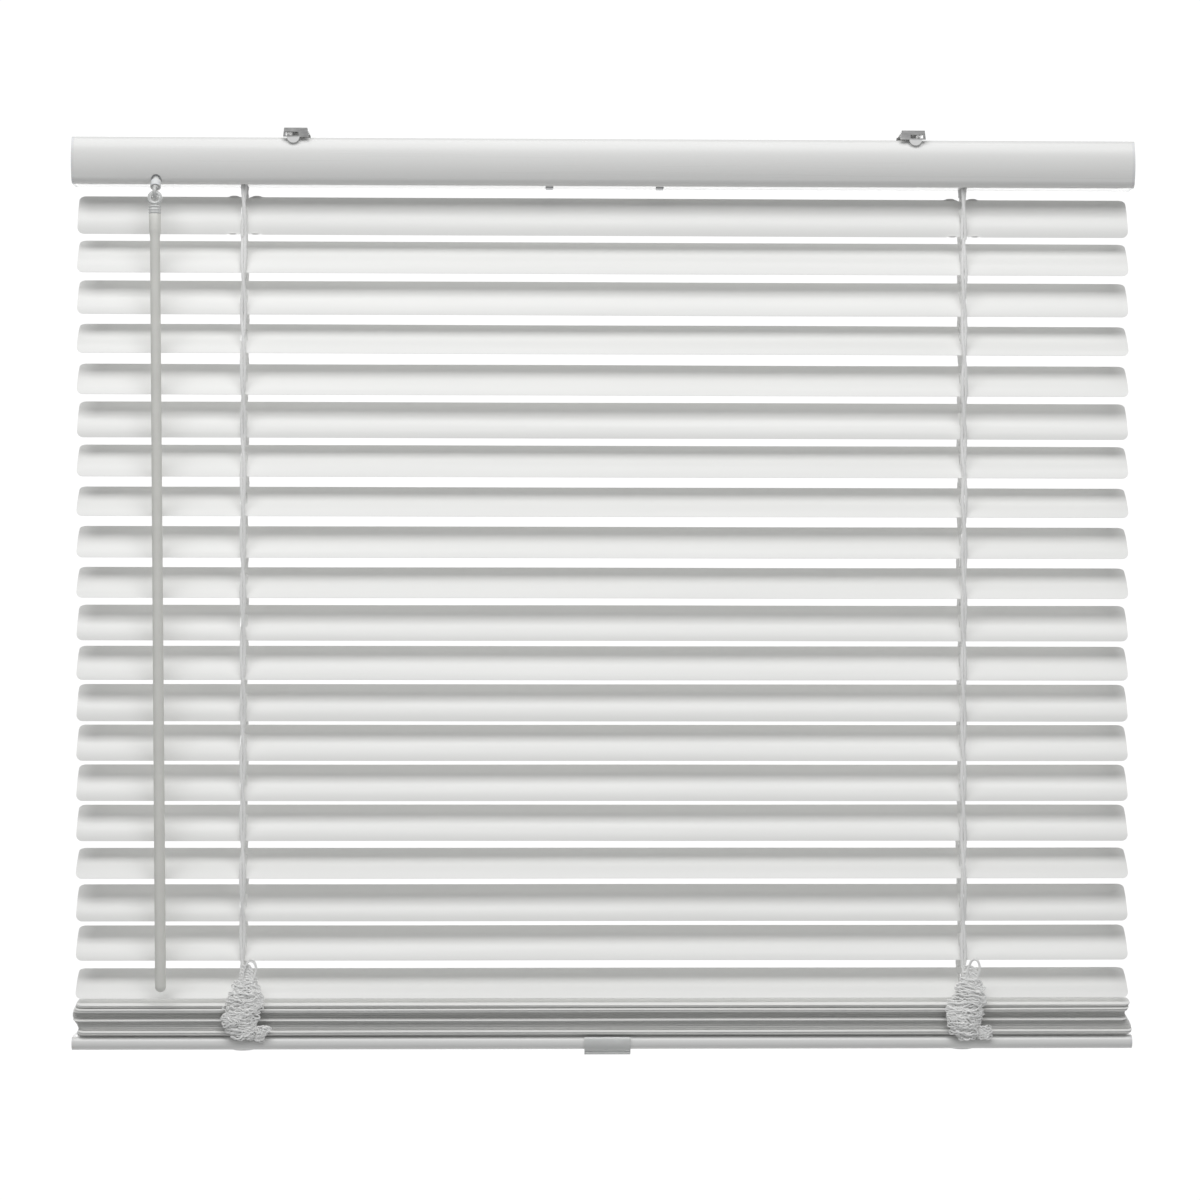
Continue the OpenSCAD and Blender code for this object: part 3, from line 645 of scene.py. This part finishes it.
# Two yarns that twist round each other make up each ladder cord
YARN_TURN = 2 * math.pi / 3.2


def edge_point(k, side, out):
    """Just outside slat k's front (-1) or back (1) edge."""
    return slat_frame(k) @ Vector((0, side * (SLAT_HALF + out), CREST - SAG))


def laid_cord(knots, radius, step=0.9):
    """A twisted two-ply cord through the knots."""
    path = smooth_path(knots, step)
    return sweep(path, radius, sides=10, lobes=2, lobe_depth=0.1, twist=YARN_TURN / 2)


def cord_pair(knots, seed, spread=1.05, turn=64):
    """Two cords that run together and wind loosely round each other."""
    rng = random.Random(seed)
    middle = smooth_path(knots, 6)
    start = rng.uniform(0, ANY_PHASE)
    parts = []
    for strand in range(2):
        run, path = 0.0, []
        for i, here in enumerate(middle):
            run += (here - middle[max(i - 1, 0)]).length
            angle = start + strand * math.pi + 2 * math.pi * run / turn + rng.uniform(-0.12, 0.12)
            away = spread * rng.uniform(0.85, 1.0)
            path.append(here + Vector((away * math.cos(angle), 0.5 * away * math.sin(angle), 0)))
        parts.append(laid_cord(path, CORD_R))
    return merge(parts)


# The front (-1) and back (1) ladder cords: where they enter the headrail, how high they go in it,
# and how far they run on below the last slat's edge
ENTRY_Y = {-1: -5, 1: 6.6}
INSIDE_Z = {-1: -13, 1: -9}
END_DROP = {-1: 4, 1: 1}
# Where the back cords run down behind the stack to their bunches, and where that stretch starts,
# counted from the last slat's edge
TAIL_Y = 17.4
TAIL_LEVELS = (-491, -500)
TAIL_START = Vector((0, 1, 0))
LADDER_BODY = {-1: "front", 1: "back"}
# How far outside the slats' edges the ladder cords hang
LADDER_OUT = 1.5


def add_ladder_cords():
    """The front and back cords of both ladders."""
    tails = []
    for side in (-1, 1):
        name = LADDER_BODY[side]
        uppers, lowers = [], []
        for ladder in LADDERS:
            shift = Vector((ladder, 0, 0))
            grips = [edge_point(k, side, LADDER_OUT) + shift for k in range(1, SLAT_COUNT + 1)]
            inside = Vector((ladder, ENTRY_Y[side], INSIDE_Z[side]))
            entry = Vector((ladder, ENTRY_Y[side], HEADRAIL_LOW.z))
            uppers.append(cord_pair([inside, entry, grips[0]], 7 + side))
            end = grips[-1] + Vector((0, 0, -END_DROP[side]))
            lowers.append(cord_pair(grips + [end], 17 + side + int(ladder)))
            if side > 0:
                behind = [Vector((ladder, TAIL_Y, z)) for z in TAIL_LEVELS]
                tails.append(cord_pair([grips[-1] + TAIL_START] + behind, 27 + int(ladder)))
        upper = add_mesh(f"{name}_cord_tops", *merge(uppers))
        dress(upper, f"{name}_ladders", "cord", f"{name}_ladder_cords")
        if side < 0:
            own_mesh(upper)
        lower = add_mesh(f"{name}_cords", *merge(lowers))
        dress(lower, f"{name}_ladders", "cord", f"{name}_ladder_cords")
        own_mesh(lower)
    dress(add_mesh("back_cord_tails", *merge(tails)), "bottom_rail", "cord")


# The lift cords' level inside the headrail, and where they meet the spool
RUN_Z = -16
SPOOL_X, SPOOL_Y = 12, 8.1
# How far the lift cords reach into the bottom rail
RAIL_REACH = 3
# Beside a ladder the lift cords turn from upright to level over this much
CORD_TURN = 1.5


def add_lift_cords():
    """The lift cords run down inside the ladders, and along the inside of the headrail to the spool."""
    hanging, inside = [], []
    for side in (-1, 1):
        x = side * LADDER_X
        wander = random.Random(60 + side)
        low = RAIL_HIGH.z - RAIL_REACH
        knots = [(x, 0, HEADRAIL_LOW.z)]
        knots += [(x + wander.uniform(-0.5, 0.5), wander.uniform(-0.3, 0.3), z)
                  for z in spaced(HEADRAIL_LOW.z - 20, low + 20, 30)]
        knots.append((x, 0, low))
        hanging.append(laid_cord(knots, LIFT_CORD_R))
        inside.append(laid_cord([(x, 0, HEADRAIL_LOW.z), (x, 0, RUN_Z - CORD_TURN),
                                 (x - side * CORD_TURN, 0, RUN_Z),
                                 (side * SPOOL_X, side * SPOOL_Y, RUN_Z)], LIFT_CORD_R))
    lower = add_mesh("hanging_lift_cords", *merge(hanging))
    dress(lower, "headrail", "cord", "lift_cords")
    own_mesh(lower)
    dress(add_mesh("lift_cord_runs", *merge(inside)), "headrail", "cord", "lift_cords")


# Half the distance along the slat between its two rungs, and how far the lower one stays under its arch
RUNG_ACROSS = 1.1
RUNG_GAP = 0.75


def add_rungs():
    """Each slat lies between two thin rungs on each ladder, one under it and one over it."""
    for k in range(1, SLAT_COUNT + 1):
        place = slat_frame(k)
        parts = []
        for ladder in LADDERS:
            for across, height in ((RUNG_ACROSS, -RUNG_GAP), (-RUNG_ACROSS, RUNG_GAP)):
                sag = CREST - SAG
                knots = [(0.3 * across, -SLAT_HALF - LADDER_OUT, sag)]
                for y in (-SLAT_HALF + 1.5, -5, 0, 5, SLAT_HALF - 1.5):
                    arch = CREST - ARCH_R + math.sqrt(ARCH_R ** 2 - y ** 2)
                    under = min(arch + height, sag) if height < 0 else arch + height * 0.6
                    knots.append((across, y, under))
                knots.append((0.3 * across, SLAT_HALF + LADDER_OUT, sag))
                path = [place @ Vector((ladder + x, y, z)) for x, y, z in knots]
                parts.append(sweep(smooth_path(path, 1.5), RUNG_R, 6))
        nodes = [f"ladder_rungs_{k:02d}"] if 1 < k < SLAT_COUNT else []
        rungs = dress(add_mesh(f"rungs_{k:02d}", *merge(parts)), f"slat_{k:02d}", "cord", *nodes)
        pile_up(rungs)


# The outline of a bunch of slack cord beside its ladder: (height, left reach, right reach, bulge)
BUNCH_OUTLINE = ((-470, 0.5, 5, 0.5), (-478, -1.6, 8, 1.5), (-484, -5.8, 11, 3), (-489, -7.4, 12.5, 5),
                 (-495, -10.5, 12.2, 6), (-500, -11.4, 10.6, 6.3), (-504, -10.6, 9.2, 6.3),
                 (-508, -8.5, 9, 6), (-513, -2, 6.5, 4.5))
STRAND_R = 0.46
# How far in front of and behind the slats' middle line the cord gathers
FRONT_STAND, BACK_STAND = 13.2, 16.0
# The strands curl by this much sideways and up, and by this much in depth
CURL = 0.5
CURL_DEPTH = 0.35
# A strand goes this share of the way round its loop, in so many steps
LOOP_SHARE = 0.96
STRAND_STEPS = 26
# The strands in front of (-1) and behind (1) the stack: (how many, highest, lowest)
BUNCH_STRANDS = {-1: (130, -472.5, -511), 1: (40, -496, -509)}
# A knot of cord that sticks out sideways near the foot: how many strands, and where they lie
KNOT_STRANDS = 22
KNOT_LEVELS = (-512, -506.5)
KNOT_LEFT = 7
KNOT_RIGHT = (12, 16.8)
KNOT_BULGE = 3.5
# Loops that stand up out of the neck in front: how many, their distance from the slats' middle line,
# and their route as (x, z)
NECK_LOOPS = 3
NECK_STAND = 14.4
NECK_ROUTE = ((1, -480), (2, -473), (4.4, -468), (7.4, -468.6), (8.6, -473), (7, -479), (6, -485))


def bunch_width(z):
    """The left reach, right reach and bulge of a bunch at a height."""
    for above, below in zip(BUNCH_OUTLINE, BUNCH_OUTLINE[1:]):
        if z >= below[0]:
            t = min(1, (above[0] - z) / (above[0] - below[0]))
            return tuple(a + (b - a) * t for a, b in zip(above[1:], below[1:]))
    return BUNCH_OUTLINE[-1][1:]


def bunch_strand(rng, z, left, right, bulge, side):
    """A slack length of cord that loops round at a slant inside the bunch and curls a little on its way."""
    centre, half_w = (left + right) / 2, (right - left) / 2
    half = half_w * rng.uniform(0.4, 0.85)
    middle = centre + rng.uniform(-1, 1) * (half_w - half)
    depth = rng.uniform(0.45, 1.0) * bulge
    slant = rng.uniform(-0.35, 0.35)
    rise, start = rng.uniform(0.7, 2.0), rng.uniform(0, ANY_PHASE)
    curls, phase = rng.randint(4, 9), rng.uniform(0, ANY_PHASE)
    stand_off = FRONT_STAND if side < 0 else BACK_STAND
    knots = []
    for i in range(STRAND_STEPS + 1):
        turn = 2 * math.pi * i / STRAND_STEPS * LOOP_SHARE
        across = math.cos(turn + start)
        curl = curls * turn + phase
        x = middle + half * across + CURL * math.cos(curl)
        off_centre = (x - centre) / (half_w + 0.6)
        swell = depth * max(0.0, 1 - off_centre ** 2)
        y = side * (stand_off + swell + CURL_DEPTH * (1 + math.cos(curl)))
        height = z + rise * math.sin(turn + start) + slant * half * across + CURL * math.sin(curl)
        knots.append(Vector((x, y, height)))
    return knots


def add_bunches():
    """The slack ladder cord that gathers in front of and behind the stack on each ladder."""
    rng = random.Random(2024)
    parts = []
    for side, (strands, top, bottom) in BUNCH_STRANDS.items():
        for ladder in LADDERS:
            loops = []
            for i in range(strands):
                z = top + (bottom - top) * (i / strands) ** 0.85 + rng.uniform(-0.6, 0.6)
                loops.append(bunch_strand(rng, z, *bunch_width(z), side))
            for _ in range(KNOT_STRANDS):
                z = rng.uniform(*KNOT_LEVELS)
                right = rng.uniform(*KNOT_RIGHT)
                loops.append(bunch_strand(rng, z, KNOT_LEFT, right, KNOT_BULGE, side))
            for _ in range(NECK_LOOPS if side < 0 else 0):
                shift = Vector((rng.uniform(-0.6, 0.2), side * rng.uniform(0, 1.5), rng.uniform(-0.8, 0.4)))
                loops.append([Vector((x, side * NECK_STAND, z)) + shift for x, z in NECK_ROUTE])
            for knots in loops:
                path = smooth_path([k + Vector((ladder, 0, 0)) for k in knots], 0.9)
                parts.append(sweep(path, STRAND_R, 6))
    dress(add_mesh("slack_cord_bunches", *merge(parts)), "bottom_rail", "cord", "cord_bunches")


# ---- Wand ----


# How far below the pin the wand's clear collar and its head end
COLLAR_LEN = 2.2
HEAD_LEN = 16
# The rod widens a little from below its head to its round tip
ROD_R = 2.8
WIDENING = 0.3
TIP_R = 3.1
TIP_LEN = 3.5
ROD_STEPS = 20


def add_wand():
    """A turned rod with a clear collar for the hook, a plain head, a long slim taper and a round tip."""
    collar = [(0, 2.6), (2.4, 2.6), (3.0, 2.3), (3.4, 1.7), (3.1, 0.9), (3.5, 0.1), (3.2, -0.8), (3.5, -1.6),
              (3.1, -COLLAR_LEN), (0, -COLLAR_LEN)]
    head = [(0, -COLLAR_LEN), (3.0, -COLLAR_LEN), (3.3, -COLLAR_LEN - 0.4), (3.3, -11.5), (3.2, -12.3),
            (2.9, -14.4), (2.75, -HEAD_LEN)]
    length = PIN_Z - WAND_TIP_Z
    taper = length - HEAD_LEN - TIP_LEN
    body = [(ROD_R + WIDENING * t / ROD_STEPS, -HEAD_LEN - taper * t / ROD_STEPS)
            for t in range(1, ROD_STEPS + 1)]
    tip = [(TIP_R * math.cos(math.radians(a)), -length + TIP_R - TIP_R * math.sin(math.radians(a)))
           for a in range(15, 90, 15)]
    points, faces = lathe(head + body + tip + [(0, -length)])
    turn = Matrix.Translation((WAND_X, WAND_Y, PIN_Z)) @ Matrix.Rotation(-WAND_LEAN, 4, "Y")
    wand = add_mesh("wand_rod", [turn @ Vector(p) for p in points], faces)
    dress(wand, "wand", "wand_plastic", "tilt_wand")
    points, faces = lathe(collar)
    top = add_mesh("wand_collar", [turn @ Vector(p) for p in points], faces)
    dress(top, "wand", "clear_plastic", "tilt_wand")


# The stem's eye and the hook's ring hang in each other at LINK_Z: their radius, how far from there
# the middle of each is, and their wire
RING_R = 3
RING_RISE = 1.85
EYE_WIRE_R = 1.05
HOOK_WIRE_R = 1.2


def add_wand_link():
    """The tilter's snout, the clear sleeve and eye of the stem, and the clear hook that carries the wand."""
    slant = (Matrix.Translation((WAND_X, WAND_Y, LINK_Z))
             @ Matrix.Rotation(-math.radians(WORM_SLANT), 4, "X"))
    snout = [(2.95, 5.6), (2.95, 9.6), (2.2, 9.6), (2.2, 5.6)]
    ring = add_mesh("tilter_snout", *turned_ring(snout, slant), sharp=60)
    dress(ring, "headrail", "white_plastic")

    sleeve = [(0, 3.9), (1.4, 4.1), (1.95, 4.9), (1.95, 12), (0, 12)]
    points, faces = lathe(sleeve, 32)
    tube = ([slant @ Vector(p) for p in points], faces)
    eye = [slant @ Vector((0, across, RING_RISE + up)) for across, up in circle(RING_R)]
    stem = add_mesh("stem_sleeve", *merge([tube, sweep(eye, EYE_WIRE_R, 12)]))
    dress(stem, "worm", "clear_plastic")

    middle_z = LINK_Z - RING_RISE
    loop = [Vector((WAND_X + across, WAND_Y, middle_z + up)) for across, up in circle(RING_R)]
    tab = [Vector((WAND_X, WAND_Y, z)) for z in spaced(middle_z - 2.6, PIN_Z + 0.4, 0.5)]
    shape = [sweep(loop, HOOK_WIRE_R, 12), sweep(tab, lambda t: 1.5 + 0.35 * math.sin(9 * t), 16)]
    dress(add_mesh("wand_link", *merge(shape)), "hook", "clear_plastic", "wand_hook")


dress_cad_nodes()
add_camera()
add_studio()
add_slats()
add_stack()
add_ladder_cords()
add_lift_cords()
add_rungs()
add_bunches()
add_wand()
add_wand_link()
